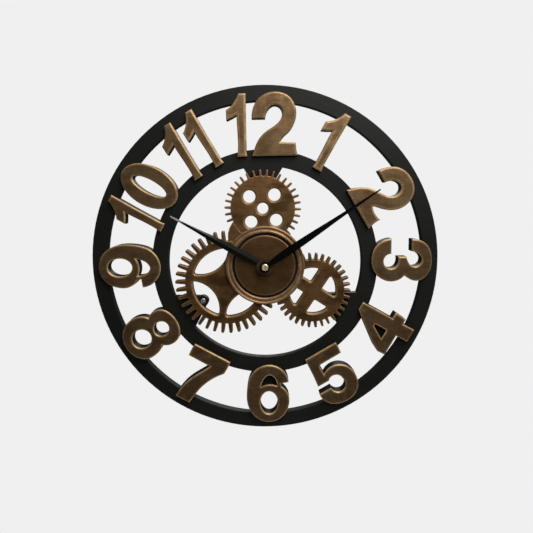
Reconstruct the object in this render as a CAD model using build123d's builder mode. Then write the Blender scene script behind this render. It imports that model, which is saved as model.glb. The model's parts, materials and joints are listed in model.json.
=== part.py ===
from build123d import *
import os
from math import atan2, cos, degrees, hypot, pi, radians, sin

os.makedirs("parts", exist_ok=True)

# ---------------------------------------------------------------- dimensions
OUTER_R = 200.0            # outer ring, outside radius
OUTER_IN_R = 182.5         # outer ring, inside radius
INNER_OUT_R = 130.5        # inner ring, outside radius
INNER_R = 112.0            # inner ring, inside radius
RING_T = 9.0               # both rings, wall side to front
NUMERAL_R = 157.0          # radius of the middle of each numeral
NUMERAL_T = 15.0           # numerals, wall side to front
NUMERAL_ROUND = 1.8        # rounded front edge of a numeral
JOINT_GAP = 0.2            # radial gap where a ring passes a numeral
HANG_R = (OUTER_R + OUTER_IN_R) / 2
HANG_HOLE_R = 4.0
PLATE_T = 1.5
PLATE_W = 36.0
PLATE_H = 14.0
POCKET_DEPTH = 6.0

GEAR_BACK = 9.0
GEAR_FRONT = 17.0
GEAR_T = GEAR_FRONT - GEAR_BACK
GEAR_CUT_R = 41.0          # clearance for the movement behind the hub
CARRIER_R = 43.0
CARRIER_TOP = 19.0
HUB_R = 45.0
HUB_TOP = 22.0
GROOVE_OUT_R = 37.3
DISC_R = 34.6

BUSH_R = 4.0
BUSH_BORE = 2.56
BUSH_TOP = 25.6
TUBE_R = 2.5
TUBE_BORE = 1.81
ARBOR_R = 1.75
PIVOT_R = 0.5
PIVOT_HOLE = 0.56
HOUR_HAND_H = 28.0
MINUTE_HAND_H = 31.0
HAND_T = 1.0
HOUR_ANGLE = 150.6         # resting angle of the hour hand, from 3 o'clock
MINUTE_ANGLE = 33.0

CASE_HALF = 28.0
CASE_BACK = 1.6
CASE_WALL = 1.6
CASE_PLATE = 15.8          # inside face of the case's front plate
COVER_T = 1.0
CELL_Y = -18.9
CELL_H = 8.3
CELL_R = 7.1
CELL_HALF_LENGTH = 25.2

DIAL = Plane(origin=(0, 0, -HANG_R), x_dir=(1, 0, 0), z_dir=(0, -1, 0))


# ------------------------------------------------------------------- helpers
def spot(x, y, h=0.0, turn=0.0):
    """Plane at a point of the dial, h in front of the wall, turned about its normal."""
    a = radians(turn)
    return Plane(origin=(x, -h, y - HANG_R), x_dir=(cos(a), 0, sin(a)), z_dir=(0, -1, 0))


def polar(r, angle):
    return r * cos(radians(angle)), r * sin(radians(angle))


def disc(r, low, high, x=0.0, y=0.0, bore=0.0, mode=Mode.ADD):
    """Round plate or sleeve between two heights above the wall."""
    with BuildSketch(spot(x, y, low)) as profile:
        Circle(r)
        if bore:
            Circle(bore, mode=Mode.SUBTRACT)
    extrude(profile.sketch, amount=high - low, mode=mode)


def block(width, length, low, high, x=0.0, y=0.0, turn=0.0, round_r=0.0, mode=Mode.ADD):
    """Rectangular plate between two heights above the wall."""
    with BuildSketch(spot(x, y, low, turn)) as profile:
        if round_r:
            RectangleRounded(width, length, round_r)
        else:
            Rectangle(width, length)
    extrude(profile.sketch, amount=high - low, mode=mode)


def front_edges(part):
    return part.faces().sort_by(Axis.Y)[0].edges()


def soften(part, edges, size):
    """Round the edges, or bevel them where the round does not fit."""
    for radius in (size, 0.75 * size, 0.5 * size):
        try:
            fillet(edges, radius=radius)
            return
        except Exception:
            pass
        try:
            chamfer(edges, length=0.8 * radius)
            return
        except Exception:
            pass


def keep(builder, name):
    builder.part.label = name
    export_step(builder.part, f"parts/{name}.step")


def toothed_wheel(teeth, module, wheel=True, tooth_at=0.0):
    """Closed outline points of a small wheel or pinion with flat-flanked teeth."""
    tip, root = (0.65, 1.15) if wheel else (0.60, 1.15)
    shares = (0.23, 0.17, 0.08) if wheel else (0.17, 0.15, 0.08)
    pitch = 360 / teeth
    radii = (module * (teeth / 2 - root), module * teeth / 2, module * (teeth / 2 + tip))
    points = []
    for k in range(teeth):
        for radius, share in zip(radii, shares):
            points.append(polar(radius, tooth_at + (k - share) * pitch))
        for radius, share in zip(reversed(radii), reversed(shares)):
            points.append(polar(radius, tooth_at + (k + share) * pitch))
    return points


def gear_layer(points, low, high, x=0.0, y=0.0):
    with BuildSketch(spot(x, y, low)) as profile:
        with BuildLine():
            Polyline(*points, close=True)
        make_face()
    extrude(profile.sketch, amount=high - low)


def gap_towards(teeth, direction):
    """Tooth angle that leaves a gap pointing in the given direction."""
    return direction + 180 / teeth


# ------------------------------------------------------------ digit outlines
with BuildSketch() as digit_0:
    Ellipse(22.2, 34.2)
    Ellipse(7.0, 21.0, mode=Mode.SUBTRACT)

with BuildSketch() as digit_1:
    with BuildLine():
        Polyline((-3, 33.3), (5, 33.3), (4.4, 0), (4.4, -27))
        Spline((4.4, -27), (4.7, -31.5), (5.2, -34.6))
        Line((5.2, -34.6), (-5.8, -34.6))
        Spline((-5.8, -34.6), (-5, -28), (-4.9, -10), (-5.4, 10.8))
        Spline((-5.4, 10.8), (-10, 8.2), (-17, 5))
        Line((-17, 5), (-17, 16))
        Spline((-17, 16), (-10.5, 21), (-6, 27), (-3, 33.3))
    make_face()

TWO_BACK = [(10, -13.8), (17, -7.5), (22, 0), (24.6, 10), (23, 20), (18, 28), (10, 33),
            (0, 34.4), (-10, 32.2), (-18, 26.5), (-23, 18), (-25, 6.5)]
TWO_BOWL = [(-10, 6.5), (-8.4, 13), (-4.4, 18.4), (1, 20.6), (6, 18.6), (8.9, 13.5), (8.2, 7.5),
            (4.6, 2), (-1, -2.4), (-11, -9), (-17.5, -16), (-22, -25), (-25, -34.5)]


def two(foot_end, foot_top):
    """A figure 2; its foot ends and is topped by a curve through the given points."""
    with BuildSketch() as profile:
        with BuildLine():
            Line(TWO_BOWL[-1], foot_end[0])
            Spline(*foot_end)
            Spline(*foot_top)
            Spline(foot_top[-1], *TWO_BACK)
            Line(TWO_BACK[-1], TWO_BOWL[0])
            Spline(*TWO_BOWL)
        make_face()
    return profile


digit_2 = two([(26, -34.5), (24, -27), (23.5, -18.2)], [(23.5, -18.2), (14, -20), (6.5, -18.3)])
square_2 = two([(25.4, -34.5), (24.2, -27.5), (23.4, -20.4)],
               [(23.4, -20.4), (15, -20.1), (6.6, -19.6)])

with BuildSketch() as digit_3:
    with BuildLine():
        Spline((-26, 11.4), (-24.8, 20), (-20, 28), (-12, 33), (-3, 34.5), (8, 33.6),
               (16.5, 29.3), (21.5, 22.5), (22.4, 15.5), (20, 9), (15.3, 3.8))
        Spline((15.3, 3.8), (20, -1.2), (22.6, -9), (22, -17), (18, -25), (11, -31),
               (1.5, -34.5), (-8, -34), (-17, -30.8), (-23, -24.8), (-26.3, -17.5),
               (-27.2, -11.8))
        Line((-27.2, -11.8), (-9.5, -11.8))
        Spline((-9.5, -11.8), (-8.2, -16.6), (-4.6, -19.8), (0.4, -20.4), (5.2, -18),
               (7.4, -12.4), (5.4, -6.6), (0.6, -4), (-6, -4.2))
        Line((-6, -4.2), (-6, 5.6))
        Spline((-6, 5.6), (0, 7.6), (4.2, 11), (5.6, 15.4), (4, 20), (0.6, 22.6), (-3.6, 23),
               (-8, 20.4), (-11, 15.8), (-12, 11.4))
        Line((-12, 11.4), (-26, 11.4))
    make_face()

with BuildSketch() as digit_4:
    with BuildLine():
        Polyline((6, 36), (16.4, 36), (16.2, -4), (24, -4), (22.4, -18.5), (16.2, -18.5),
                 (16.4, -33.5), (0, -33.5), (0, -18.5), (-26, -18.5), (-26.6, -9),
                 (-23, -2.2), (6, 36))
    make_face()

with BuildSketch() as eye_4:
    with BuildLine():
        Polyline((-11.5, -5), (0.8, -5), (0.8, 10.5), (-2.2, 10.5), close=True)
    make_face()

with BuildSketch() as digit_5:
    with BuildLine():
        Polyline((-7, -1.8), (-22, -1.8), (-20, 14), (-18.5, 35), (23.5, 35), (22.5, 20.8))
        Line((22.5, 20.8), (-3, 20.5))
        Spline((-3, 20.5), (-6.6, 19.8), (-8, 17.4))
        Line((-8, 17.4), (-8, 8.5))
        Spline((-8, 8.5), (-1, 11.6), (6, 12), (14, 9.2), (20.4, 3), (23.6, -6), (23.4, -16),
               (19.6, -25), (12.6, -31.4), (3, -34.4), (-8, -33.6), (-17, -29.8),
               (-23, -23.4), (-25.4, -17), (-25.4, -10.8))
        Line((-25.4, -10.8), (-9.5, -10.8))
        Spline((-9.5, -10.8), (-8, -16), (-3, -20), (3.4, -19.6), (7.8, -15), (8.6, -9),
               (6, -1.6), (1, 1), (-4, 0.6), (-7, -1.8))
    make_face()

with BuildSketch() as digit_6:
    with BuildLine():
        Spline((25.2, 15), (24, 21), (19, 29.4), (10.6, 35.2), (1, 36.8), (-10, 33.6),
               (-18.4, 26), (-23, 15), (-25, 2), (-24.6, -10), (-20.2, -22), (-11, -31),
               (2, -34.4), (14.6, -30.2), (22, -22), (25.4, -12), (25.4, -3), (22, 4.6),
               (16.6, 9.8))
        Line((16.6, 9.8), (15.6, 13.6))
        Line((15.6, 13.6), (25.2, 15))
    make_face()
    with Locations((1.5, -10)):
        Ellipse(10.4, 14, mode=Mode.SUBTRACT)

with BuildSketch() as eye_6:
    with BuildLine():
        Spline((-8, 9.5), (-5.8, 17), (-2, 22.2), (3, 24.5), (8, 21.4), (11.2, 15),
               (11.5, 10.5))
        Spline((11.5, 10.5), (2, 12.4), (-8, 9.5))
    make_face()

with BuildSketch() as digit_7:
    with BuildLine():
        Line((-27, 35), (20.5, 35))
        Spline((20.5, 35), (21, 27), (20.5, 18.5))
        Spline((20.5, 18.5), (13.6, 9.6), (8.6, 0.8), (5, -8.6), (2.4, -21), (1, -33))
        Line((1, -33), (-17.5, -33))
        Spline((-17.5, -33), (-16.2, -21), (-13.4, -10), (-8.8, 0), (-3.6, 9), (1.4, 18.7))
        Line((1.4, 18.7), (-27, 19))
        Line((-27, 19), (-27, 35))
    make_face()

with BuildSketch() as digit_8:
    with BuildLine():
        Spline((2, 34.4), (-8.6, 32.6), (-17, 27), (-20.2, 18.6), (-16.8, 8))
        Spline((-16.8, 8), (-22.6, 1.6), (-25.2, -8), (-23.4, -19), (-17.4, -27.6),
               (-8.4, -33), (1, -34.4), (11, -32.8), (20, -27), (25, -19), (25.4, -10),
               (23.4, -1.6), (19.2, 4.4))
        Spline((19.2, 4.4), (23.4, 11), (24, 19), (20.2, 27.6), (12, 32.8), (2, 34.4))
    make_face()
    with Locations((2, 14)):
        Ellipse(8.5, 8.9, mode=Mode.SUBTRACT)
    with Locations((0.5, -12.5)):
        Ellipse(11, 11.5, mode=Mode.SUBTRACT)

with BuildSketch() as digit_9:
    add(digit_6.sketch, rotation=180)
    add(eye_6.sketch, rotation=180, mode=Mode.SUBTRACT)

# name, hour, outline, sideways shift, shift along the radius, screws (x, y), blind eye
NUMERALS = [
    ("numeral_1", 1, digit_1, -0.8, 0, [(1, 30), (0, -30.5)], None),
    ("numeral_2", 2, digit_2, 0, 0, [(0, 28.5), (0, -30.3)], None),
    ("numeral_3", 3, digit_3, 0, 0, [(-1, 29.5), (-3, -30)], None),
    ("numeral_4", 4, digit_4, 0, 0, [(9, 30.5), (9, -29)], eye_4),
    ("numeral_5", 5, digit_5, 0, 0, [(0, 30), (-2, -29)], None),
    ("numeral_6", 6, digit_6, 0, 0, [(1, 30.5), (1.5, -29)], eye_6),
    ("numeral_7", 7, digit_7, 0, 0, [(-5, 30.5), (-8, -29)], None),
    ("numeral_8", 8, digit_8, 0, 0, [(2, 30), (0.5, -29.3)], None),
    ("numeral_9", 9, digit_9, 1.5, 0, [(-1, -30.3), (-1.5, 29)], None),
    ("numeral_10_one", 10, digit_1, -18.7, 0, [(1, 30), (0, -31.8)], None),
    ("numeral_10_zero", 10, digit_0, 15.3, 0, [(0, 29), (0, -31)], None),
    ("numeral_11_first", 11, digit_1, -12.3, 0, [(1, 30), (0, -30.5)], None),
    ("numeral_11_second", 11, digit_1, 15.3, 0, [(1, 30), (0, -30.5)], None),
    ("numeral_12_one", 12, digit_1, -22.5, 0, [(1, 30), (0, -32)], None),
    ("numeral_12_two", 12, square_2, 13.5, 0, [(9.5, 27.5), (0, -30.8)], None),
]


def numeral_turn(hour):
    """Turn of a numeral's own axes; the lower ones stand with their feet outward."""
    outward = 90 - 30 * hour
    upright = 4 <= hour <= 8
    return outward + 90 if upright else outward - 90


def numeral_spot(hour, x, y, h=0.0):
    """Plane at a point given in a numeral's own axes."""
    centre = polar(NUMERAL_R, 90 - 30 * hour)
    turn = numeral_turn(hour)
    c, s = cos(radians(turn)), sin(radians(turn))
    return spot(centre[0] + x * c - y * s, centre[1] + x * s + y * c, h, turn)


screw_spots = []
for name, hour, outline, shift_x, shift_y, screws, eye in NUMERALS:
    for x, y in screws:
        screw_spots.append(numeral_spot(hour, x + shift_x, y + shift_y))

# ------------------------------------------------------------------ numerals
EYE_DEPTH = 6.0
SCREW_R = 1.45
SCREW_TIP = 13.0
for name, hour, outline, shift_x, shift_y, screws, eye in NUMERALS:
    with BuildPart() as numeral:
        with BuildSketch(numeral_spot(hour, shift_x, shift_y)):
            add(outline.sketch)
        extrude(amount=NUMERAL_T)
        soften(numeral, front_edges(numeral), NUMERAL_ROUND)
        if eye:
            with BuildSketch(numeral_spot(hour, shift_x, shift_y, NUMERAL_T - EYE_DEPTH)):
                add(eye.sketch)
            extrude(amount=EYE_DEPTH + 1, mode=Mode.SUBTRACT)
        disc(OUTER_R + 10, -1, RING_T, bore=OUTER_IN_R - JOINT_GAP, mode=Mode.SUBTRACT)
        disc(INNER_OUT_R + JOINT_GAP, -1, RING_T, mode=Mode.SUBTRACT)
        for x, y in screws:
            with BuildSketch(numeral_spot(hour, x + shift_x, y + shift_y, RING_T - 1)) as pilot:
                Circle(SCREW_R + 0.02)
            extrude(pilot.sketch, amount=SCREW_TIP + 0.5 - RING_T + 1, mode=Mode.SUBTRACT)
    keep(numeral, name)

# --------------------------------------------------------------------- rings
HEAD_R = 2.9
HEAD_T = 1.6
HANGER_SCREW_X = 13.0


def countersunk_holes(places):
    for place in places:
        with BuildSketch(place) as shank:
            Circle(SCREW_R + 0.1)
        extrude(shank.sketch, amount=RING_T + 1, mode=Mode.SUBTRACT)
        with BuildSketch(place) as mouth:
            Circle(HEAD_R + 0.15)
        extrude(mouth.sketch, amount=HEAD_T + 0.2, mode=Mode.SUBTRACT)


outer_screws = [p for p in screw_spots if hypot(p.origin.X, p.origin.Z + HANG_R) > NUMERAL_R]
inner_screws = [p for p in screw_spots if hypot(p.origin.X, p.origin.Z + HANG_R) < NUMERAL_R]

with BuildPart() as outer_ring:
    disc(OUTER_R, 0, RING_T, bore=OUTER_IN_R)
    fillet(front_edges(outer_ring), radius=0.8)
    countersunk_holes(outer_screws)
    block(PLATE_W + 0.2, PLATE_H + 0.2, 0, PLATE_T, y=HANG_R, mode=Mode.SUBTRACT)
    block(14, 10.5, 0, POCKET_DEPTH, y=HANG_R - 0.8, round_r=3, mode=Mode.SUBTRACT)
    for x in (-HANGER_SCREW_X, HANGER_SCREW_X):
        disc(1.2, 0, 6.5, x=x, y=HANG_R, mode=Mode.SUBTRACT)
keep(outer_ring, "outer_ring")

LUG_TIP_R = 6.5
LUG_TIP_AT = 85.0
LUG_HALF_BASE = 23.5
LUG_ANGLES = (90, 210, 330)
GEAR_SCREW_AT = 93.0
LUG_RECESS = 3.0

with BuildPart() as inner_ring:
    disc(INNER_OUT_R, 0, RING_T, bore=INNER_R)
    for angle in LUG_ANGLES:
        with BuildSketch(spot(0, 0, 0, angle)) as lug:
            with BuildLine():
                Polyline((LUG_TIP_AT - 3, LUG_TIP_R - 1.2), (INNER_R, LUG_HALF_BASE),
                         (INNER_R + 4, LUG_HALF_BASE), (INNER_R + 4, -LUG_HALF_BASE),
                         (INNER_R, -LUG_HALF_BASE), (LUG_TIP_AT - 3, 1.2 - LUG_TIP_R),
                         close=True)
            make_face()
            with Locations((LUG_TIP_AT, 0)):
                Circle(LUG_TIP_R)
        extrude(lug.sketch, amount=RING_T)
    fillet(front_edges(inner_ring), radius=0.6)
    countersunk_holes(inner_screws)
    countersunk_holes([spot(*polar(GEAR_SCREW_AT, angle)) for angle in LUG_ANGLES])
    disc(1.2, 2, RING_T + 1, *polar(LUG_TIP_AT, 210), mode=Mode.SUBTRACT)
    disc(4.6, RING_T - LUG_RECESS, RING_T + 1, *polar(LUG_TIP_AT, 210), mode=Mode.SUBTRACT)
keep(inner_ring, "inner_ring")

# ----------------------------------------------------------- ring fasteners
with BuildPart(mode=Mode.PRIVATE) as wood_screw:
    with BuildSketch(Plane.XZ):
        with BuildLine():
            Polyline((0, 0.3), (HEAD_R, 0.3), (HEAD_R, 0.7), (SCREW_R, HEAD_T + 0.2),
                     (SCREW_R, SCREW_TIP - 2), (0.3, SCREW_TIP), (0, SCREW_TIP), close=True)
        make_face()
    revolve(axis=Axis.Z)
    with BuildSketch(Plane.XY.offset(0.2)):
        Rectangle(3.4, 0.7)
        Rectangle(0.7, 3.4)
    extrude(amount=0.9, mode=Mode.SUBTRACT)

with BuildPart() as numeral_screws:
    for place in screw_spots:
        add(wood_screw.part.moved(place.location))
keep(numeral_screws, "numeral_screws")

with BuildPart() as gear_screws:
    for angle in LUG_ANGLES:
        add(wood_screw.part.moved(spot(*polar(GEAR_SCREW_AT, angle)).location))
keep(gear_screws, "gear_screws")

with BuildPart() as hanger_plate:
    block(PLATE_W, PLATE_H, 0, PLATE_T - 0.05, y=HANG_R, round_r=2)
    disc(HANG_HOLE_R, 0, PLATE_T, y=HANG_R, mode=Mode.SUBTRACT)
    block(3.6, 5.4, 0, PLATE_T, y=HANG_R + 2.7, round_r=1.7, mode=Mode.SUBTRACT)
    for x in (-HANGER_SCREW_X, HANGER_SCREW_X):
        disc(1.3, 0, PLATE_T, x=x, y=HANG_R, mode=Mode.SUBTRACT)
        disc(2.4, 0, 0.75, x=x, y=HANG_R, mode=Mode.SUBTRACT)
keep(hanger_plate, "hanger_plate")

with BuildPart() as hanger_screws:
    for x in (-HANGER_SCREW_X, HANGER_SCREW_X):
        disc(2.3, 0.1, 0.75, x=x, y=HANG_R)
        disc(1.15, 0.75, 6.2, x=x, y=HANG_R)
        block(3.0, 0.6, 0, 0.4, x=x, y=HANG_R, mode=Mode.SUBTRACT)
        block(0.6, 3.0, 0, 0.4, x=x, y=HANG_R, mode=Mode.SUBTRACT)
keep(hanger_screws, "hanger_screws")

lug_x, lug_y = polar(LUG_TIP_AT, 210)
LUG_SEAT = RING_T - LUG_RECESS
with BuildPart() as lug_washer:
    disc(4.4, LUG_SEAT, LUG_SEAT + 0.8, lug_x, lug_y, bore=1.2)
keep(lug_washer, "lug_washer")

with BuildPart() as lug_screw:
    disc(3.4, LUG_SEAT + 0.8, RING_T - 0.2, lug_x, lug_y)
    fillet(front_edges(lug_screw), radius=1.0)
    block(4.6, 0.9, LUG_SEAT + 1.9, RING_T, lug_x, lug_y, turn=30, mode=Mode.SUBTRACT)
    block(0.9, 4.6, LUG_SEAT + 1.9, RING_T, lug_x, lug_y, turn=30, mode=Mode.SUBTRACT)
    disc(1.15, 2.2, LUG_SEAT + 1.0, lug_x, lug_y)
keep(lug_screw, "lug_screw")

# -------------------------------------------------------- decorative gears
def finger_gear(x, y, root, tip, teeth, half_root, half_tip, tooth_at, round_r):
    """Disc with a ring of rounded finger teeth."""
    with BuildSketch(spot(x, y, GEAR_BACK)) as profile:
        Circle(root)
        for k in range(teeth):
            with BuildSketch(mode=Mode.PRIVATE) as tooth:
                with BuildLine():
                    Polyline((root - 2, -half_root), (tip, -half_tip), (tip, half_tip),
                             (root - 2, half_root), close=True)
                make_face()
                fillet(tooth.vertices().group_by(Axis.X)[-1], radius=round_r)
            add(tooth.sketch, rotation=tooth_at + 360 * k / teeth)
    return profile.sketch


TOP_X, TOP_Y = -1.2, 64.5
TOP_ROOT_R = 36.5
LARGE_ROOT_R = 48.3
TOP_HOLE_AT = 20.2
with BuildPart() as gear_top:
    extrude(finger_gear(TOP_X, TOP_Y, TOP_ROOT_R, 43.2, 34, 1.7, 1.15, -2.4, 0.9), amount=GEAR_T)
    soften(gear_top, front_edges(gear_top), 0.8)
    for angle in (48, 138, 228, 318):
        hole_x, hole_y = polar(TOP_HOLE_AT, angle)
        disc(7, 0, 20, TOP_X + hole_x, TOP_Y + hole_y, mode=Mode.SUBTRACT)
    disc(6.3, 0, 20, TOP_X, TOP_Y, mode=Mode.SUBTRACT)
    rims = gear_top.faces().sort_by(Axis.Y)[0].inner_wires()
    for rim in rims:
        chamfer(rim.edges(), length=1.8)
    disc(GEAR_CUT_R, 0, 20, mode=Mode.SUBTRACT)
    disc(SCREW_R + 0.02, 8, SCREW_TIP + 0.5, *polar(GEAR_SCREW_AT, 90), mode=Mode.SUBTRACT)

LARGE_X, LARGE_Y = -44.2, -19.8
LENS_R = 39.5
LENS_SCOOP_R = 32.5
LENS_SCOOP_AT = 51.8
WEB_X = -41.0
with BuildPart() as gear_large:
    extrude(finger_gear(LARGE_X, LARGE_Y, LARGE_ROOT_R, 59.75, 38, 2.6, 1.75, 206.5, 1.5), amount=GEAR_T)
    soften(gear_large, front_edges(gear_large), 1.0)
    for angle in (215.2, 125.2, 35.2, 305.2):
        with BuildSketch(spot(LARGE_X, LARGE_Y, 0, angle)) as lens:
            Circle(LENS_R)
            with Locations((LENS_SCOOP_AT, 0)):
                Circle(LENS_SCOOP_R, mode=Mode.INTERSECT)
            fillet(lens.vertices(), radius=2.2)
        extrude(lens.sketch, amount=20, mode=Mode.SUBTRACT)
    for rim in gear_large.faces().sort_by(Axis.Y)[0].inner_wires():
        chamfer(rim.edges(), length=1.5)
    disc(GEAR_CUT_R, 0, 20, mode=Mode.SUBTRACT)
    disc(SCREW_R + 0.02, 8, SCREW_TIP + 0.5, *polar(GEAR_SCREW_AT, 210), mode=Mode.SUBTRACT)

RIGHT_X, RIGHT_Y = 54.5, -31.2
BAR_W = 15.0
with BuildPart() as gear_right:
    extrude(finger_gear(RIGHT_X, RIGHT_Y, 36.5, 43.65, 34, 2.1, 1.3, -1.1, 1.0), amount=GEAR_T)
    soften(gear_right, front_edges(gear_right), 0.8)
    for angle in (11, 101, 191, 281):
        with BuildSketch(spot(RIGHT_X, RIGHT_Y, 0, angle - 45)) as opening:
            with BuildLine():
                side = (26.7 ** 2 - (BAR_W / 2) ** 2) ** 0.5
                middle = 26.7 * cos(pi / 4)
                Line((BAR_W / 2, BAR_W / 2), (side, BAR_W / 2))
                ThreePointArc((side, BAR_W / 2), (middle, middle), (BAR_W / 2, side))
                Line((BAR_W / 2, side), (BAR_W / 2, BAR_W / 2))
            make_face()
            fillet(opening.vertices(), radius=2)
        extrude(opening.sketch, amount=20, mode=Mode.SUBTRACT)
    for rim in gear_right.faces().sort_by(Axis.Y)[0].inner_wires():
        chamfer(rim.edges(), length=1.5)
    disc(GEAR_CUT_R, 0, 20, mode=Mode.SUBTRACT)
    disc(SCREW_R + 0.02, 8, SCREW_TIP + 0.5, *polar(GEAR_SCREW_AT, 330), mode=Mode.SUBTRACT)


# Corners of the web between the two gears, before the gears are taken out of it.
WEB_CORNERS = [(-31, 55), (-36.5, 48.5), (-39.5, 43), (-41.3, 37), (-41.5, 27.5), (-36, 27.3),
               (-28, 25), (-20, 21), (-10, 35), (-12, 40), (-22, 50)]
with BuildSketch(spot(0, 0, GEAR_BACK)) as web:
    with BuildLine():
        Polyline(*WEB_CORNERS, close=True)
    make_face()
    fillet(web.vertices().sort_by(Axis.X)[:4], radius=2)
    with Locations((TOP_X, TOP_Y)):
        Circle(TOP_ROOT_R + 0.1, mode=Mode.SUBTRACT)
    with Locations((LARGE_X, LARGE_Y)):
        Circle(LARGE_ROOT_R + 0.1, mode=Mode.SUBTRACT)
    Circle(GEAR_CUT_R, mode=Mode.SUBTRACT)

with BuildPart() as gear_bridge:
    extrude(web.sketch.faces().sort_by(SortBy.AREA)[-1], amount=GEAR_T, dir=DIAL.z_dir)
    soften(gear_bridge, front_edges(gear_bridge).filter_by(GeomType.LINE), 0.8)

# No teeth where the web joins the two gears.
with gear_top:
    with BuildSketch(spot(0, 0, 0)) as top_toothless:
        with BuildLine():
            Polyline(*WEB_CORNERS, close=True)
        make_face()
        with Locations((TOP_X, TOP_Y)):
            Circle(TOP_ROOT_R, mode=Mode.SUBTRACT)
    extrude(top_toothless.sketch, amount=20, mode=Mode.SUBTRACT)
gear_top.part = gear_top.part.solids().sort_by(SortBy.VOLUME)[-1]

with gear_large:
    with BuildSketch(spot(0, 0, 0)) as toothless:
        with BuildLine():
            Polyline((WEB_X, 45), (WEB_X, 10), (10, 10), (10, 45), close=True)
        make_face()
        with Locations((LARGE_X, LARGE_Y)):
            Circle(LARGE_ROOT_R, mode=Mode.SUBTRACT)
    extrude(toothless.sketch, amount=20, mode=Mode.SUBTRACT)
gear_large.part = gear_large.part.solids().sort_by(SortBy.VOLUME)[-1]

keep(gear_top, "gear_top")
keep(gear_large, "gear_large")
keep(gear_right, "gear_right")
keep(gear_bridge, "gear_bridge")

# ----------------------------------------------------------------------- hub
HUB_SCREW_AT = 38.9
HUB_SCREW_ANGLES = (0, 90, 180, 270)

with BuildPart() as carrier_disc:
    disc(CARRIER_R, GEAR_FRONT, CARRIER_TOP, bore=BUSH_R + 0.1)
    for angle in HUB_SCREW_ANGLES:
        disc(1.2, GEAR_FRONT - 1, CARRIER_TOP + 1, *polar(HUB_SCREW_AT, angle),
             mode=Mode.SUBTRACT)
keep(carrier_disc, "carrier_disc")

with BuildPart() as hub_rim:
    with BuildSketch(Plane.XZ) as rim_profile:
        with BuildLine():
            Polyline((GROOVE_OUT_R, CARRIER_TOP), (HUB_R, CARRIER_TOP), (HUB_R, HUB_TOP - 1.6))
            ThreePointArc((HUB_R, HUB_TOP - 1.6), (43.4, HUB_TOP), (41.9, HUB_TOP - 1.4))
            Polyline((41.9, HUB_TOP - 1.4), (41.5, HUB_TOP - 1.9), (40.6, HUB_TOP - 1.4))
            ThreePointArc((40.6, HUB_TOP - 1.4), (39.1, HUB_TOP), (GROOVE_OUT_R, HUB_TOP - 1.4))
            Line((GROOVE_OUT_R, HUB_TOP - 1.4), (GROOVE_OUT_R, CARRIER_TOP))
        make_face()
    revolve(axis=Axis.Z)
    hub_rim.part = hub_rim.part.moved(DIAL.location)
    for angle in HUB_SCREW_ANGLES:
        disc(1.0, CARRIER_TOP - 1, HUB_TOP - 0.9, *polar(HUB_SCREW_AT, angle),
             mode=Mode.SUBTRACT)
keep(hub_rim, "hub_rim")

with BuildPart() as hub_disc:
    disc(DISC_R, CARRIER_TOP, HUB_TOP)
    fillet(front_edges(hub_disc), radius=1.0)
    disc(BUSH_R + 0.1, CARRIER_TOP - 1, HUB_TOP + 1, mode=Mode.SUBTRACT)
keep(hub_disc, "hub_disc")

with BuildPart() as hub_screws:
    for angle in HUB_SCREW_ANGLES:
        x, y = polar(HUB_SCREW_AT, angle)
        disc(1.9, GEAR_FRONT - 1.2, GEAR_FRONT, x, y)
        disc(0.98, GEAR_FRONT, HUB_TOP - 1.2, x, y)
        block(2.6, 0.5, GEAR_FRONT - 2, GEAR_FRONT - 0.7, x, y, mode=Mode.SUBTRACT)
        block(0.5, 2.6, GEAR_FRONT - 2, GEAR_FRONT - 0.7, x, y, mode=Mode.SUBTRACT)
keep(hub_screws, "hub_screws")

with BuildPart() as bush_washer:
    disc(7.6, HUB_TOP, HUB_TOP + 0.8, bore=BUSH_R + 0.05)
keep(bush_washer, "bush_washer")

NUT_FLATS = 11.0
with BuildPart() as bush_nut:
    with BuildSketch(spot(0, 0, HUB_TOP + 0.8)):
        RegularPolygon(radius=NUT_FLATS / 2, side_count=6, major_radius=False)
    extrude(amount=2.4)
    chamfer(front_edges(bush_nut), length=0.4)
    disc(BUSH_R + 0.02, HUB_TOP, HUB_TOP + 5, mode=Mode.SUBTRACT)
keep(bush_nut, "bush_nut")


# --------------------------------------------------------------------- hands
# distance from the axis and width there; the last width is that of the blunt tip
HOUR_WIDTHS = [(9.0, 7.0), (22, 9.5), (40, 9.2), (60, 7.7), (80, 5.0), (100, 2.8), (119, 1.2)]
MINUTE_WIDTHS = [(5.0, 4.0), (18, 7.4), (36, 8.5), (56, 7.8), (74, 6.4), (92, 4.8), (112, 3.5),
                 (134, 2.4), (152.5, 1.4)]


def hand(widths, angle, low, boss_r):
    upper = [(along, width / 2) for along, width in widths]
    lower = [(along, -half) for along, half in upper]
    with BuildSketch(spot(0, 0, low, angle)) as profile:
        with BuildLine():
            Spline(*upper)
            Line(upper[-1], lower[-1])
            Spline(*reversed(lower))
            Line(lower[0], upper[0])
        make_face()
        Circle(boss_r)
    extrude(profile.sketch, amount=HAND_T)


with BuildPart() as hour_hand:
    hand(HOUR_WIDTHS, HOUR_ANGLE, HOUR_HAND_H, 9.8)
    disc(TUBE_R, 20, 40, mode=Mode.SUBTRACT)
keep(hour_hand, "hour_hand")

with BuildPart() as minute_hand:
    hand(MINUTE_WIDTHS, MINUTE_ANGLE, MINUTE_HAND_H, 5.8)
    disc(ARBOR_R, 20, 40, mode=Mode.SUBTRACT)
keep(minute_hand, "minute_hand")

with BuildPart() as minute_nut:
    disc(3.85, MINUTE_HAND_H + HAND_T, 35.5)
    fillet(front_edges(minute_nut), radius=1.0)
    disc(ARBOR_R, MINUTE_HAND_H, 34.6, mode=Mode.SUBTRACT)
keep(minute_nut, "minute_nut")

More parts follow.
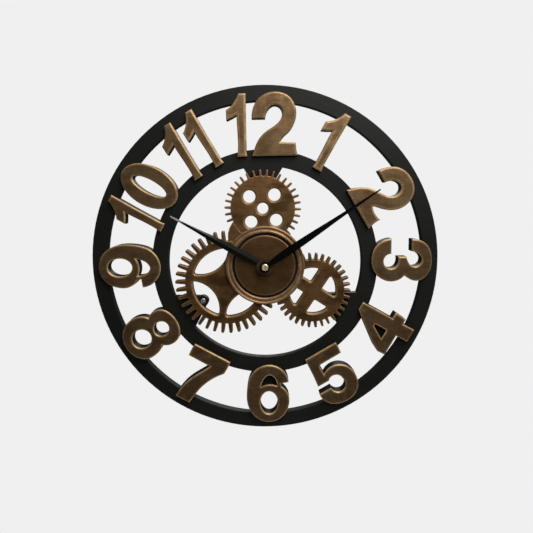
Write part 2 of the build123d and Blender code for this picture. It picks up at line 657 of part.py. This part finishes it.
# ------------------------------------------------------------- going train
THIRD = (-10.82, 2.9)
INTERMEDIATE = (11.2, 0.0)
ROTOR = (14.2, 11.1)
MINUTE_WORK = (0.0, 12.0)
CENTRE_MODULE = 0.3111
THIRD_MODULE = 0.3294
SECOND_MODULE = 0.32
ROTOR_MODULE = 0.3194
CANNON_MODULE = 0.5
HOUR_MODULE = 0.48
PIVOT_LOW = 2.1
BRIDGE_LOW = 10.2
BRIDGE_HIGH = 10.9


def direction(start, end):
    return degrees(atan2(end[1] - start[1], end[0] - start[0]))


CENTRE = (0.0, 0.0)
to_third = direction(CENTRE, THIRD)
to_intermediate = direction(CENTRE, INTERMEDIATE)
to_rotor = direction(INTERMEDIATE, ROTOR)
to_minute_work = direction(CENTRE, MINUTE_WORK)

with BuildPart() as rotor_pinion:
    disc(PIVOT_R, PIVOT_LOW, BRIDGE_HIGH - 0.05, *ROTOR)
    gear_layer(toothed_wheel(12, ROTOR_MODULE, False, gap_towards(12, to_rotor + 180)),
               2.9, 4.4, *ROTOR)
    disc(1.0, 4.4, 5.4, *ROTOR)
keep(rotor_pinion, "rotor_pinion")

with BuildPart() as rotor_magnet:
    disc(3.0, 5.4, 8.4, *ROTOR, bore=PIVOT_R)
keep(rotor_magnet, "rotor_magnet")

with BuildPart() as intermediate_wheel:
    disc(PIVOT_R, PIVOT_LOW, BRIDGE_HIGH - 0.05, *INTERMEDIATE)
    gear_layer(toothed_wheel(60, ROTOR_MODULE, True, to_rotor), 3.2, 4.0, *INTERMEDIATE)
    gear_layer(toothed_wheel(10, SECOND_MODULE, False, gap_towards(10, to_intermediate + 180)),
               4.0, 6.4, *INTERMEDIATE)
keep(intermediate_wheel, "intermediate_wheel")

with BuildPart() as second_wheel:
    disc(PIVOT_R, PIVOT_LOW, 10.2)
    gear_layer(toothed_wheel(60, SECOND_MODULE, True, to_intermediate), 5.2, 6.0)
    gear_layer(toothed_wheel(8, THIRD_MODULE, False, gap_towards(8, to_third)), 6.0, 8.4)
keep(second_wheel, "second_wheel")

with BuildPart() as third_wheel:
    disc(PIVOT_R, PIVOT_LOW, BRIDGE_HIGH - 0.05, *THIRD)
    gear_layer(toothed_wheel(60, THIRD_MODULE, True, to_third + 180), 7.0, 7.8, *THIRD)
    gear_layer(toothed_wheel(8, CENTRE_MODULE, False, gap_towards(8, to_third + 180)),
               7.8, 9.9, *THIRD)
keep(third_wheel, "third_wheel")

with BuildPart() as centre_wheel:
    gear_layer(toothed_wheel(64, CENTRE_MODULE, True, to_third), 9.0, 9.6)
    disc(ARBOR_R + 0.05, 8, 11, mode=Mode.SUBTRACT)
    for angle in (45, 135, 225, 315):
        disc(1.8, 8, 11, *polar(6.2, angle), mode=Mode.SUBTRACT)
keep(centre_wheel, "centre_wheel")

with BuildPart() as minute_arbor:
    disc(ARBOR_R, 8.7, 34.5)
    disc(3.2, 8.7, 8.95)
    gear_layer(toothed_wheel(12, CANNON_MODULE, False, gap_towards(12, to_minute_work)),
               11.1, 13.0)
    disc(PIVOT_HOLE, 8, 10.5, mode=Mode.SUBTRACT)
keep(minute_arbor, "minute_arbor")

with BuildPart() as clutch_spring:
    disc(4.2, 9.65, 9.85, bore=ARBOR_R)
keep(clutch_spring, "clutch_spring")

with BuildPart() as minute_wheel:
    disc(0.75, 1.7, 16.2, *MINUTE_WORK)
    gear_layer(toothed_wheel(36, CANNON_MODULE, True, to_minute_work + 180), 11.4, 12.2,
               *MINUTE_WORK)
    gear_layer(toothed_wheel(10, HOUR_MODULE, False, gap_towards(10, to_minute_work + 180)),
               12.2, 14.8, *MINUTE_WORK)
keep(minute_wheel, "minute_wheel")

with BuildPart() as hour_wheel:
    disc(TUBE_R, 13.3, 29.5)
    gear_layer(toothed_wheel(40, HOUR_MODULE, True, to_minute_work), 13.4, 14.2)
    disc(TUBE_BORE, 13, 30, mode=Mode.SUBTRACT)
keep(hour_wheel, "hour_wheel")

with BuildPart() as setting_knob:
    with BuildSketch(spot(*MINUTE_WORK, 0.6)):
        Circle(4.0)
        with PolarLocations(4.0, 16):
            Circle(0.25, mode=Mode.SUBTRACT)
    extrude(amount=1.6)
    disc(0.75, 1.7, 4, *MINUTE_WORK, mode=Mode.SUBTRACT)
    block(5.4, 0.7, 0, 1.0, *MINUTE_WORK, mode=Mode.SUBTRACT)
keep(setting_knob, "setting_knob")

# ---------------------------------------------------------- movement housing
BAY_TOP_Y = -11.4
COVER_BOTTOM_Y = -10.6
INSIDE = CASE_HALF - CASE_WALL
POSTS = ((-20.0, -5.0), (20.0, -5.0), (-20.0, 14.5), (20.0, 14.5))

with BuildPart() as movement_case:
    block(2 * CASE_HALF, 2 * CASE_HALF, CASE_BACK, GEAR_FRONT, round_r=4)
    block(2 * INSIDE, 2 * INSIDE, 0, CASE_PLATE, round_r=2.6, mode=Mode.SUBTRACT)
    block(2 * INSIDE + 0.4, COVER_BOTTOM_Y - BAY_TOP_Y, CASE_BACK, CASE_PLATE + 0.2,
          y=(COVER_BOTTOM_Y + BAY_TOP_Y) / 2)
    disc(BUSH_R, CASE_PLATE, BUSH_TOP)
    disc(6.0, CASE_PLATE - 0.8, CASE_PLATE + 0.2)
    disc(2.2, CASE_PLATE - 0.6, CASE_PLATE + 0.2, *MINUTE_WORK)
    disc(BUSH_BORE, 10, 30, mode=Mode.SUBTRACT)
    disc(0.81, 12, 16.4, *MINUTE_WORK, mode=Mode.SUBTRACT)
    for x, y in POSTS:
        disc(2.0, BRIDGE_HIGH, CASE_PLATE + 0.2, x, y)
keep(movement_case, "movement_case")

COVER_TOP_Y = INSIDE - 0.1
with BuildPart() as movement_back:
    block(2 * (INSIDE - 0.1), COVER_TOP_Y - COVER_BOTTOM_Y - 0.1, CASE_BACK,
          CASE_BACK + COVER_T, y=(COVER_TOP_Y + COVER_BOTTOM_Y + 0.1) / 2)
    for x in (-1, 1):
        block(3.2, 3.2, 0, 4, x * (INSIDE - 0.5), COVER_TOP_Y - 0.5, turn=45,
              mode=Mode.SUBTRACT)
    disc(4.5, 0, 4, *MINUTE_WORK, mode=Mode.SUBTRACT)
    for x, y in (THIRD, INTERMEDIATE, ROTOR, CENTRE):
        disc(PIVOT_HOLE, PIVOT_LOW - 0.1, 4, x, y, mode=Mode.SUBTRACT)
    for x, y in ((-20.0, 20.0), (22.0, -7.0)):
        disc(1.6, CASE_BACK - 0.5, CASE_BACK + 0.5, x, y, mode=Mode.SUBTRACT)
keep(movement_back, "movement_back")

with BuildPart() as train_bridge:
    block(44, 22.5, BRIDGE_LOW, BRIDGE_HIGH, y=5.25, round_r=2)
    disc(ARBOR_R + 0.06, 9, 12, mode=Mode.SUBTRACT)
    disc(0.81, 9, 12, *MINUTE_WORK, mode=Mode.SUBTRACT)
    for x, y in (THIRD, INTERMEDIATE, ROTOR):
        disc(PIVOT_HOLE, 9, 12, x, y, mode=Mode.SUBTRACT)
keep(train_bridge, "train_bridge")

# ------------------------------------------------------------ stepping motor
COIL_Y = 21.4
COIL_H = 7.0
COIL_LEFT = -17.0
COIL_RIGHT = 3.0
CORE_LOW = 6.6
CORE_HIGH = 7.4

with BuildPart() as stator:
    with BuildSketch(spot(0, 0, CORE_LOW)) as laminations:
        with Locations((-6.5, COIL_Y)):
            Rectangle(29, 2)
        with Locations((-19.7, 18.0)):
            Rectangle(2.6, 8.8)
        with Locations((-6.0, 15.2)):
            Rectangle(30, 3)
        with Locations((12, COIL_Y)):
            Rectangle(16, 2.6)
        with Locations((18.5, 17)):
            Rectangle(3, 11)
        with Locations(ROTOR):
            Circle(6.2)
            Circle(3.6, mode=Mode.SUBTRACT)
            with PolarLocations(5, 2, start_angle=75):
                Rectangle(4, 0.5, mode=Mode.SUBTRACT)
    extrude(laminations.sketch, amount=CORE_HIGH - CORE_LOW)
keep(stator, "stator")


def coil_section(x):
    return Plane(origin=(x, -COIL_H, COIL_Y - HANG_R), x_dir=(0, 0, 1), z_dir=(1, 0, 0))


FLANGE_T = 0.8
CORE_W = 2.3
CORE_T = 1.1
with BuildPart() as coil_bobbin:
    for start, length, radius in ((COIL_LEFT, FLANGE_T, 4.0), (COIL_RIGHT - FLANGE_T, FLANGE_T, 4.0),
                                  (COIL_LEFT, COIL_RIGHT - COIL_LEFT, 1.9)):
        with BuildSketch(coil_section(start)) as flange:
            Circle(radius)
        extrude(flange.sketch, amount=length)
    with BuildSketch(coil_section(COIL_LEFT - 1)) as core_hole:
        Rectangle(CORE_W, CORE_T)
    extrude(core_hole.sketch, amount=COIL_RIGHT - COIL_LEFT + 2, mode=Mode.SUBTRACT)
keep(coil_bobbin, "coil_bobbin")

with BuildPart() as coil_winding:
    with BuildSketch(coil_section(COIL_LEFT + FLANGE_T)) as turns:
        Circle(3.6)
        Circle(1.9, mode=Mode.SUBTRACT)
    extrude(turns.sketch, amount=COIL_RIGHT - COIL_LEFT - 2 * FLANGE_T)
keep(coil_winding, "coil_winding")

BOARD_LOW = 12.6
BOARD_HIGH = 13.4
with BuildPart() as circuit_board:
    block(14.8, 8.0, BOARD_LOW, BOARD_HIGH, x=17.8, y=21.4)
    disc(1.8, BOARD_LOW - 0.9, BOARD_LOW, 21.5, 20.5)
keep(circuit_board, "circuit_board")

with BuildPart() as quartz_crystal:
    with BuildSketch(Plane(origin=(11.5, -(BOARD_LOW - 1.1), 23.9 - HANG_R), x_dir=(0, 0, 1),
                           z_dir=(1, 0, 0))) as can:
        Circle(1.0)
    extrude(can.sketch, amount=6.0)
keep(quartz_crystal, "quartz_crystal")


# ------------------------------------------------------------------- battery
def cell_section(x):
    return Plane(origin=(x, -CELL_H, CELL_Y - HANG_R), x_dir=(0, 0, 1), z_dir=(1, 0, 0))


NUB_T = 1.0
with BuildPart() as battery:
    with BuildSketch(cell_section(-CELL_HALF_LENGTH)) as cell_body:
        Circle(CELL_R)
    extrude(cell_body.sketch, amount=2 * CELL_HALF_LENGTH - NUB_T)
    fillet(battery.edges().filter_by(GeomType.CIRCLE), radius=0.5)
    with BuildSketch(cell_section(CELL_HALF_LENGTH - NUB_T)) as cell_nub:
        Circle(2.7)
    extrude(cell_nub.sketch, amount=NUB_T)
keep(battery, "battery")

with BuildPart() as contact_positive:
    block(0.4, 10, 4.5, CASE_PLATE, x=INSIDE - 0.2, y=CELL_Y)
keep(contact_positive, "contact_positive")

with BuildPart() as contact_negative:
    block(0.4, 10, 4.5, CASE_PLATE, x=0.2 - INSIDE, y=CELL_Y)
    with BuildSketch(cell_section(0.3 - INSIDE)) as spring_end:
        Circle(2.2)
    extrude(spring_end.sketch, amount=0.5)
keep(contact_negative, "contact_negative")
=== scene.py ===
import json
import math

import bpy
from mathutils import Matrix, Vector


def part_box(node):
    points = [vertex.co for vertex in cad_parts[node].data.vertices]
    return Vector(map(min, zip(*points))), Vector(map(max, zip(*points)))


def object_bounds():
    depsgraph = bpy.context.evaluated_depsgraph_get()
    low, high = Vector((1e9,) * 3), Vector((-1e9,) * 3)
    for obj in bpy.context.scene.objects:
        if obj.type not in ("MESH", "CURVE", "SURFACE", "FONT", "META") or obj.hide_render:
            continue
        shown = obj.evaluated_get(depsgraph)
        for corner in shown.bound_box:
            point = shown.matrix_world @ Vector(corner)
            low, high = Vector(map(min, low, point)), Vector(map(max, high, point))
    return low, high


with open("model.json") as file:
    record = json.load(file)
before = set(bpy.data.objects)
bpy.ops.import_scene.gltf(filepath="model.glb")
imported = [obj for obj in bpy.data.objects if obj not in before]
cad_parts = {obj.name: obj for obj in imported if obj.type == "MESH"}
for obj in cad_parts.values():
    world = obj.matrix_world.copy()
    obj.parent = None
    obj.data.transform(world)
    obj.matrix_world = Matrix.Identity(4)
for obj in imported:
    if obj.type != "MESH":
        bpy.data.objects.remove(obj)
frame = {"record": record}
cad_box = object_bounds()

# ------------------------------------------------------------------ facts
RECORD = frame["record"]
CAD_LOW = Vector(cad_box[0])
RING_LOW, RING_HIGH = (Vector(p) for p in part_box("outer_ring"))
DIAL_CENTRE = Vector((0.0, 0.0, (RING_LOW.z + RING_HIGH.z) / 2))
NUMERALS = [s["node"] for s in RECORD["subparts"] if s["node"].startswith("numeral_")
            and s["node"] != "numeral_screws"]
GEARS = ["gear_top", "gear_large", "gear_right", "gear_bridge"]


def front_of(node):
    """The Y of the front of a node, which faces -Y."""
    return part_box(node)[0][1]


# -------------------------------------------------------------- materials
class Nodes:
    """A short way to lay out one procedural material."""

    def __init__(self, name):
        self.mat = bpy.data.materials.new(name)
        self.mat.use_nodes = True
        self.tree = self.mat.node_tree
        self.shader = self.tree.nodes["Principled BSDF"]

    def new(self, kind, **settings):
        node = self.tree.nodes.new(kind)
        for key, value in settings.items():
            setattr(node, key, value)
        return node

    def link(self, source, target):
        self.tree.links.new(source, target)

    def put(self, node, socket, value):
        if isinstance(value, bpy.types.NodeSocket):
            self.link(value, node.inputs[socket])
        else:
            node.inputs[socket].default_value = value

    def position(self):
        """Where a point is on the object, so that marks move with it."""
        return self.new("ShaderNodeTexCoord").outputs["Object"]

    def axis(self, name):
        split = self.new("ShaderNodeSeparateXYZ")
        self.link(self.position(), split.inputs[0])
        return split.outputs[name]

    def from_axis(self):
        """Distance from the axis of the dial."""
        flat = self.new("ShaderNodeVectorMath", operation="MULTIPLY_ADD")
        self.link(self.position(), flat.inputs[0])
        flat.inputs[1].default_value = (1, 0, 1)
        flat.inputs[2].default_value = (-DIAL_CENTRE.x, 0, -DIAL_CENTRE.z)
        length = self.new("ShaderNodeVectorMath", operation="LENGTH")
        self.link(flat.outputs[0], length.inputs[0])
        return length.outputs["Value"]

    def stretched(self, scale, turn=0.0):
        """Positions scaled along each axis, turned in the plane of the dial."""
        mapping = self.new("ShaderNodeMapping")
        self.link(self.position(), mapping.inputs["Vector"])
        mapping.inputs["Scale"].default_value = scale
        mapping.inputs["Rotation"].default_value = (0, turn, 0)
        return mapping.outputs[0]

    def noise(self, scale, detail=4.0, rough=0.6, vector=None):
        node = self.new("ShaderNodeTexNoise")
        self.put(node, "Scale", scale)
        self.put(node, "Detail", detail)
        self.put(node, "Roughness", rough)
        self.link(vector or self.position(), node.inputs["Vector"])
        return node.outputs["Fac"]

    def math(self, operation, a, b=0.0):
        node = self.new("ShaderNodeMath", operation=operation)
        self.put(node, 0, a)
        self.put(node, 1, b)
        return node.outputs[0]

    def ramp(self, value, low, high, to_low=0.0, to_high=1.0):
        """A smooth step from to_low at low to to_high at high."""
        node = self.new("ShaderNodeMapRange", interpolation_type="SMOOTHSTEP")
        self.put(node, "Value", value)
        for socket, number in (("From Min", low), ("From Max", high), ("To Min", to_low),
                               ("To Max", to_high)):
            node.inputs[socket].default_value = number
        return node.outputs[0]

    def mix(self, factor, a, b):
        node = self.new("ShaderNodeMix", data_type="RGBA")
        self.put(node, 0, factor)
        self.put(node, 6, a if isinstance(a, bpy.types.NodeSocket) else (*a, 1))
        self.put(node, 7, b if isinstance(b, bpy.types.NodeSocket) else (*b, 1))
        return node.outputs[2]

    def rounded(self, radius):
        """The normal of edges rounded by radius, and how near a point is to an edge."""
        bevel = self.new("ShaderNodeBevel", samples=BEVEL_SAMPLES)
        bevel.inputs["Radius"].default_value = radius
        turned = self.new("ShaderNodeVectorMath", operation="DOT_PRODUCT")
        self.link(bevel.outputs[0], turned.inputs[0])
        self.link(self.new("ShaderNodeNewGeometry").outputs["True Normal"], turned.inputs[1])
        return bevel.outputs[0], self.math("SUBTRACT", 1.0, turned.outputs["Value"])

    def bump(self, height, strength, distance, normal=None):
        node = self.new("ShaderNodeBump")
        node.inputs["Strength"].default_value = strength
        node.inputs["Distance"].default_value = distance
        self.link(height, node.inputs["Height"])
        if normal:
            self.link(normal, node.inputs["Normal"])
        self.link(node.outputs[0], self.shader.inputs["Normal"])

    def surface(self, colour, rough, metallic=0.0, coat=0.0, specular=0.5):
        self.put(self.shader, "Base Color", colour if isinstance(colour, bpy.types.NodeSocket)
                 else (*colour, 1))
        self.put(self.shader, "Specular IOR Level", specular)
        self.put(self.shader, "Roughness", rough)
        self.put(self.shader, "Metallic", metallic)
        self.put(self.shader, "Coat Weight", coat)
        return self.mat


BLACK = (0.0075, 0.0070, 0.0065)
BOSS_BROWN = (0.030, 0.017, 0.010)
STAIN_BROWN = (0.034, 0.018, 0.007)
# pale grey of a painted highlight, a glint on the hour hand's tip and along its upper edge
PAINTED_HIGHLIGHT_GREY = (0.30, 0.30, 0.28)
# pale gold on the numerals' edges: rubbed wear and a painted highlight
GOLD_EDGE = (0.50, 0.335, 0.165)

# bronze paint, with lengths in metres
PAINT_WAVE = 0.0012            # how far its border wanders
PAINT_BLUR = 0.0002            # half the width of its border
RIM_DEPTH = (0.00004, 0.0007)  # the bevel starts behind the front face
BRUSH_DEPTH = 0.0002
BRUSH_STRENGTH = 0.15
BEVEL_SAMPLES = 6
FLAT_METALLIC = 0.85
EDGE_METALLIC_LOSS = 0.50      # the edge is paler and less metallic, partly rubbed wear and partly a painted highlight
BRONZE_SPECULAR = 0.06

# hour hand: each pair is where a change begins and where it is complete, in metres
HOUR_BOSS = (0.0092, 0.0100)   # radius, from the brown boss to the black hand
RIDGE_START = (0.0095, 0.0110)
RIDGE_SLOPE = -0.20
TIP_HIGHLIGHT = (0.1010, 0.1120)    # radius, to the painted highlight all over
EDGE_HIGHLIGHT = (0.0550, 0.1050)   # radius, to the painted highlight along one edge
EDGE_HIGHLIGHT_OFFSET = (-0.0002, -0.0012)
EDGE_HIGHLIGHT_STRENGTH = 0.75


def bronze(name, front, face, worn, edge, paint_depth=0.0022, brush_turn=0.3, rounding=0.0010,
           edge_highlight_and_wear_width=0.0030, stain=0.30):
    """Brushed antique bronze on the front and its rounded edge, black on the sides. The edges are
    painted paler, partly as rubbed wear and partly as a painted highlight.
    """
    n = Nodes(name)
    depth = n.math("SUBTRACT", n.axis("Y"), front)
    ragged = n.noise(700.0, 3.0)
    side = n.math("ADD", depth, n.math("MULTIPLY", n.math("SUBTRACT", ragged, 0.5), PAINT_WAVE))
    painted = n.ramp(side, paint_depth + PAINT_BLUR, paint_depth - PAINT_BLUR)
    streaks = n.noise(1.0, 5.0, 0.62, n.stretched((90, 300, 480), brush_turn))
    crossing = n.noise(1.0, 4.0, 0.6, n.stretched((260, 300, 40), -0.6 * brush_turn))
    patches = n.noise(55.0, 4.0, 0.55)
    brushed = n.math("ADD", n.math("MULTIPLY", streaks, 0.30), n.math("MULTIPLY", crossing, 0.20))
    brushed = n.math("ADD", brushed, n.math("MULTIPLY", patches, 0.50))
    rubbed = n.ramp(brushed, 0.38, 0.62)
    smears = n.noise(1.0, 3.0, 0.50, n.stretched((28, 70, 80), brush_turn))
    flat = n.mix(n.ramp(smears, 0.44, 0.66, 0.0, stain), n.mix(rubbed, face, worn), STAIN_BROWN)
    normal = n.rounded(rounding)[0]
    nearness = n.rounded(edge_highlight_and_wear_width)[1]
    rim = n.ramp(depth, *RIM_DEPTH)
    fade = n.ramp(n.noise(130.0, 3.0), 0.30, 0.62, 0.6, 1.0)
    # painted highlight and rubbed wear: the bevel and every edge within reach are painted paler
    edge_highlight_and_wear = n.math("MULTIPLY", n.math("MAXIMUM", rim, n.ramp(nearness, 0.0, 0.09)), fade)
    colour = n.mix(edge_highlight_and_wear, flat, edge)
    colour = n.mix(painted, BLACK, colour)
    roughness = n.ramp(brushed, 0.35, 0.65, 0.50, 0.40)
    loss = n.math("MULTIPLY", edge_highlight_and_wear, EDGE_METALLIC_LOSS)
    metallic = n.math("MULTIPLY", painted, n.math("SUBTRACT", FLAT_METALLIC, loss))
    n.surface(colour, roughness, metallic, specular=BRONZE_SPECULAR)
    n.bump(brushed, BRUSH_STRENGTH, BRUSH_DEPTH, normal)
    return n.mat


def satin_black(name, colour, rough, specular, ridge=None):
    """Satin black paint. The hand that ridge names gets a ridge, a brown boss and a painted
    highlight on its tip and along one edge.
    """
    n = Nodes(name)
    grain = n.noise(420.0, 5.0, 0.6)
    cloud = n.noise(14.0, 3.0, 0.5)
    tone = n.mix(n.ramp(cloud, 0.3, 0.7), colour, tuple(c * 1.35 for c in colour))
    if ridge:
        offset = from_centre_line(n, ridge)
        tone = n.mix(n.ramp(n.from_axis(), *HOUR_BOSS), BOSS_BROWN, tone)
        # painted highlight: the tip and one edge of the hour hand are painted pale grey
        tone = n.mix(painted_tip_highlight(n, offset), tone, PAINTED_HIGHLIGHT_GREY)
    n.surface(tone, n.ramp(grain, 0.3, 0.7, rough - 0.05, rough + 0.07), specular=specular)
    if ridge:
        slope = n.ramp(n.from_axis(), *RIDGE_START, 0.0, RIDGE_SLOPE)
        ridge_height = n.math("MULTIPLY", n.math("ABSOLUTE", offset), slope)
        n.bump(n.math("ADD", ridge_height, n.math("MULTIPLY", grain, 0.00002)), 1.0, 1.0)
    else:
        n.bump(grain, 0.12, 0.00015)
    return n.mat


def from_centre_line(n, node):
    """Signed distance from the centre line of a hand, which is its ridge."""
    points = [v.co - DIAL_CENTRE for v in bpy.data.objects[node].data.vertices]
    tip = max(points, key=lambda p: p.x * p.x + p.z * p.z)
    reach = math.hypot(tip.x, tip.z)
    across = n.new("ShaderNodeVectorMath", operation="DOT_PRODUCT")
    n.link(n.position(), across.inputs[0])
    side = Vector((-tip.z / reach, 0.0, tip.x / reach))
    across.inputs[1].default_value = side
    return n.math("SUBTRACT", across.outputs["Value"], side.dot(DIAL_CENTRE))


def painted_tip_highlight(n, offset):
    """A painted highlight on the tip of a hand, which thins out along one edge."""
    tip = n.ramp(n.from_axis(), *TIP_HIGHLIGHT)
    along = n.ramp(n.from_axis(), *EDGE_HIGHLIGHT, 0.0, EDGE_HIGHLIGHT_STRENGTH)
    edge = n.math("MULTIPLY", n.ramp(offset, *EDGE_HIGHLIGHT_OFFSET), along)
    return n.math("MAXIMUM", tip, edge)


def metal(name, colour, rough=0.3, metallic=1.0, scale=(900, 900, 60)):
    """Bare metal with fine drawn lines."""
    n = Nodes(name)
    lines = n.noise(1.0, 3.0, 0.5, n.stretched(scale))
    tone = n.mix(n.ramp(lines, 0.3, 0.7), tuple(c * 0.82 for c in colour), colour)
    n.surface(tone, n.ramp(lines, 0.3, 0.7, rough, rough + 0.12), metallic)
    n.bump(lines, 0.10, 0.0001)
    return n.mat


def plastic(name, colour, rough=0.4, coat=0.0):
    """Moulded plastic with a fine grain."""
    n = Nodes(name)
    grain = n.noise(1400.0, 2.0, 0.5)
    cloud = n.noise(60.0, 2.0, 0.5)
    tone = n.mix(n.ramp(cloud, 0.3, 0.7), tuple(c * 0.9 for c in colour), colour)
    n.surface(tone, n.ramp(grain, 0.3, 0.7, rough - 0.06, rough + 0.06), 0.0, coat)
    n.bump(grain, 0.15, 0.0001)
    return n.mat


numeral_look = bronze("numeral_bronze", front_of("numeral_3"), face=(0.094, 0.055, 0.026),
                      worn=(0.168, 0.104, 0.052), edge=GOLD_EDGE)
gear_look = bronze("gear_bronze", front_of("gear_top"), face=(0.105, 0.053, 0.020),
                   worn=(0.185, 0.101, 0.042), edge=(0.28, 0.165, 0.076), paint_depth=0.0024,
                   brush_turn=0.9, rounding=0.0009, edge_highlight_and_wear_width=0.0022, stain=0.65)
rim_look = bronze("hub_rim_bronze", front_of("hub_rim"), face=(0.135, 0.076, 0.038),
                  worn=(0.200, 0.118, 0.060), edge=(0.31, 0.19, 0.100), paint_depth=0.0026,
                  brush_turn=0.5)
disc_look = bronze("hub_disc_brown", front_of("hub_disc"), face=(0.066, 0.034, 0.013),
                   worn=(0.122, 0.066, 0.027), edge=(0.24, 0.14, 0.065), paint_depth=0.0012,
                   brush_turn=0.2)

LOOKS = {
    "black_mdf": satin_black("ring_black", (0.0054, 0.0054, 0.0042), 0.46, 0.14),
    "black_aluminium": satin_black("hand_black", (0.0015, 0.0015, 0.0013), 0.50, 0.02),
    "brass_parts": metal("pale_brass", (0.98, 0.87, 0.52), 0.32),
    "plated_steel": metal("zinc_steel", (0.62, 0.62, 0.60), 0.28),
    "black_steel": metal("black_steel", (0.05, 0.05, 0.05), 0.35),
    "rubber_washer": plastic("rubber", (0.010, 0.010, 0.010), 0.6),
    "black_plastic": plastic("movement_plastic", (0.012, 0.012, 0.013), 0.38),
    "white_plastic": plastic("bridge_plastic", (0.62, 0.62, 0.58), 0.42),
    "steel_arbor": metal("turned_steel", (0.58, 0.57, 0.55), 0.25),
    "wheel_plastic": plastic("wheel_plastic", (0.70, 0.68, 0.60), 0.42),
    "stator_iron": metal("stator_iron", (0.34, 0.34, 0.35), 0.35),
    "magnet": metal("magnet", (0.10, 0.10, 0.11), 0.4, 0.6),
    "copper_wire": metal("copper_wire", (0.62, 0.24, 0.09), 0.3, 1.0, (2600, 200, 200)),
    "board": plastic("board_green", (0.03, 0.14, 0.05), 0.35, 0.3),
    "battery_jacket": metal("battery_jacket", (0.13, 0.14, 0.16), 0.3, 0.5),
}


def dress(obj, look):
    """Give all of a piece one material."""
    obj.data.materials.clear()
    obj.data.materials.append(look)


OWN_LOOKS = {node: numeral_look for node in NUMERALS}
OWN_LOOKS.update({node: gear_look for node in GEARS})
OWN_LOOKS["hub_rim"] = rim_look
OWN_LOOKS["hub_disc"] = disc_look
OWN_LOOKS["hour_hand"] = satin_black("hour_hand_black", (0.0035, 0.0035, 0.0028), 0.36, 0.10,
                                     "hour_hand")

for subpart in RECORD["subparts"]:
    node, slot = subpart["node"], subpart["material_slot"]
    dress(bpy.data.objects[node], OWN_LOOKS.get(node) or LOOKS[slot])

# ------------------------------------------------------------------ stage
BACKDROP = (0.87, 0.87, 0.87)
SURROUND = (0.08, 0.08, 0.081)
FLOOR_DROP = 0.35
FLOOR_SIDES = (-0.75, 0.75)
FLOOR_ENDS = (-0.40, 0.20)
FLOOR_TONES = ((0.90, 0.90, 0.90), (0.92, 0.92, 0.92))
LIGHTS = (
    # name, place from the dial's centre, width and height, watts
    ("key", (0.30, -0.50, 0.75), (0.6, 0.4), 11),
    ("front", (0.5, -1.5, 0.75), (1.2, 0.6), 12),
    ("rear", (0.4, 1.5, 0.9), (1.2, 1.2), 10),
)


def stage_floor():
    """A pale table top below the clock, out of the camera's view."""
    low = CAD_LOW.z - FLOOR_DROP
    left, right = FLOOR_SIDES
    near, far = FLOOR_ENDS
    mesh = bpy.data.meshes.new("floor")
    mesh.from_pydata([(left, near, low), (right, near, low), (right, far, low),
                      (left, far, low)], [], [(0, 1, 2, 3)])
    floor = bpy.data.objects.new("floor", mesh)
    bpy.context.collection.objects.link(floor)
    n = Nodes("floor_pale")
    cloud = n.noise(0.6, 2.0, 0.4)
    tone = n.mix(cloud, *FLOOR_TONES)
    n.surface(tone, 0.9)
    floor.data.materials.append(n.mat)


def stage_world():
    """A pale backdrop that lights the clock only a little."""
    world = bpy.data.worlds.new("studio")
    bpy.context.scene.world = world
    world.use_nodes = True
    tree = world.node_tree
    background = tree.nodes["Background"]
    path = tree.nodes.new("ShaderNodeLightPath")
    mix = tree.nodes.new("ShaderNodeMix")
    mix.data_type = "RGBA"
    mix.inputs[6].default_value = (*SURROUND, 1)
    mix.inputs[7].default_value = (*BACKDROP, 1)
    tree.links.new(path.outputs["Is Camera Ray"], mix.inputs[0])
    tree.links.new(mix.outputs[2], background.inputs["Color"])


def area_light(name, place, size, watts):
    """A soft rectangular light, placed from the dial's centre and aimed at it."""
    data = bpy.data.lights.new(name, "AREA")
    data.shape = "RECTANGLE"
    data.size, data.size_y = size
    data.energy = watts
    lamp = bpy.data.objects.new(name, data)
    lamp.location = DIAL_CENTRE + Vector(place)
    lamp.rotation_mode = "QUATERNION"
    lamp.rotation_quaternion = (DIAL_CENTRE - lamp.location).to_track_quat("-Z", "Y")
    bpy.context.collection.objects.link(lamp)


stage_floor()
stage_world()
for light in LIGHTS:
    area_light(*light)

# ----------------------------------------------------------------- camera
CAMERA_DISTANCE = 0.5918
CAMERA_ELEVATION = math.radians(8.275)
CAMERA_ROLL = math.radians(1.2)
CAMERA_LENS = 33.96
CAMERA_SENSOR = 36.0
CAMERA_SHIFT = (0.0028, -0.0066)
CAMERA_CLIP = (0.01, 200.0)
camera_data = bpy.data.cameras.new("camera")
camera_data.lens = CAMERA_LENS
camera_data.sensor_width = CAMERA_SENSOR
camera_data.shift_x, camera_data.shift_y = CAMERA_SHIFT
camera_data.clip_start, camera_data.clip_end = CAMERA_CLIP
camera = bpy.data.objects.new("camera", camera_data)
bpy.context.collection.objects.link(camera)
back = Vector((0, -math.cos(CAMERA_ELEVATION), math.sin(CAMERA_ELEVATION)))
facing = back.to_track_quat("Z", "Y").to_matrix().to_4x4()
level = Matrix.Translation(back * CAMERA_DISTANCE) @ facing
roll = Matrix.Rotation(CAMERA_ROLL, 4, "Y")
camera.matrix_world = Matrix.Translation(DIAL_CENTRE) @ roll @ level
bpy.context.scene.camera = camera
bpy.context.scene.view_settings.view_transform = "Standard"
